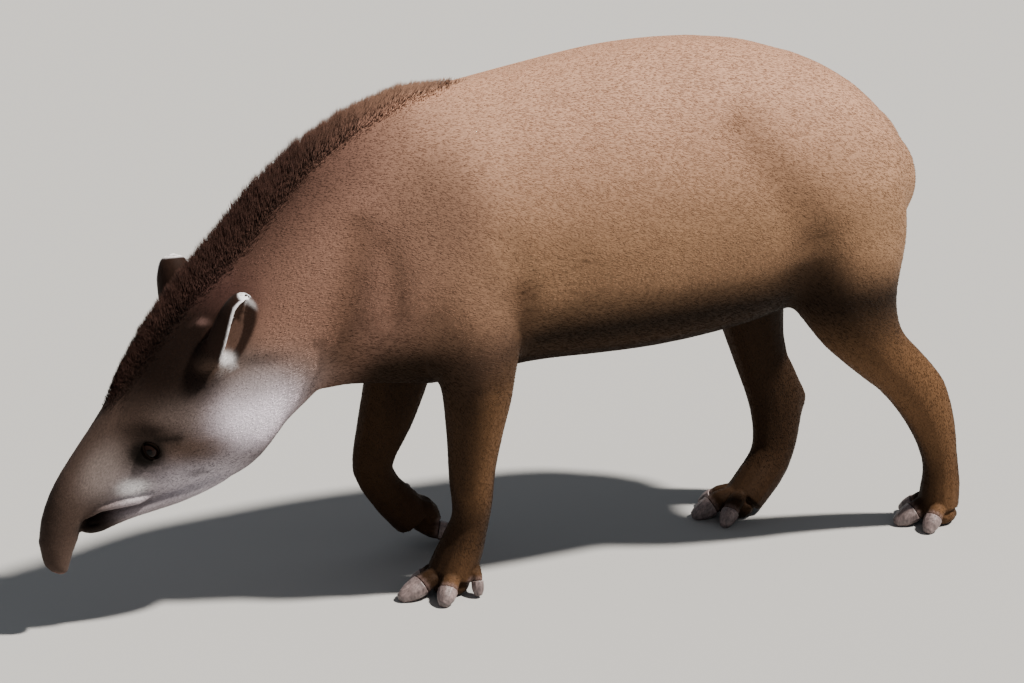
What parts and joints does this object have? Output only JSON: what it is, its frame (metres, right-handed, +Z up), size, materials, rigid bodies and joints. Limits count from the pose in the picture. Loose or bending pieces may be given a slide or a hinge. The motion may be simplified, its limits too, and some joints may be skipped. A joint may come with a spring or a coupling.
{
  "type": "south american tapir",
  "caption": "Life-size still model of a lowland tapir walking slowly with its head lowered to graze, with a short bristly mane and a curved proboscis.",
  "frame": {"origin": "on the floor under the middle of the whole animal", "axes": "-X is where the animal faces, +Y is its right side, +Z is up"},
  "size_m": [1.7978, 0.446, 0.9952],
  "materials": {
    "coat": "short matt hair, warm brown",
    "hoof": "worn grey horn",
    "eye": "wet and glossy"
  },
  "bodies": {
    "root": {"foreleg_left": "coat", "forefoot_left": "coat", "hoof_fore_left_2": "hoof", "hoof_fore_left_3": "hoof", "hoof_fore_left_4": "hoof", "hoof_fore_left_5": "hoof", "hindleg_left": "coat", "hindfoot_left": "coat", "hoof_hind_left_2": "hoof", "hoof_hind_left_3": "hoof", "hoof_hind_left_4": "hoof", "foreleg_right": "coat", "forefoot_right": "coat", "hoof_fore_right_2": "hoof", "hoof_fore_right_3": "hoof", "hoof_fore_right_4": "hoof", "hoof_fore_right_5": "hoof", "hindleg_right": "coat", "hindfoot_right": "coat", "hoof_hind_right_2": "hoof", "hoof_hind_right_3": "hoof", "hoof_hind_right_4": "hoof", "torso": "coat", "neck": "coat", "eye_left": "eye", "eye_right": "eye", "head": "coat", "ear_left": "coat", "ear_right": "coat", "tail": "coat"}
  },
  "joints": []
}
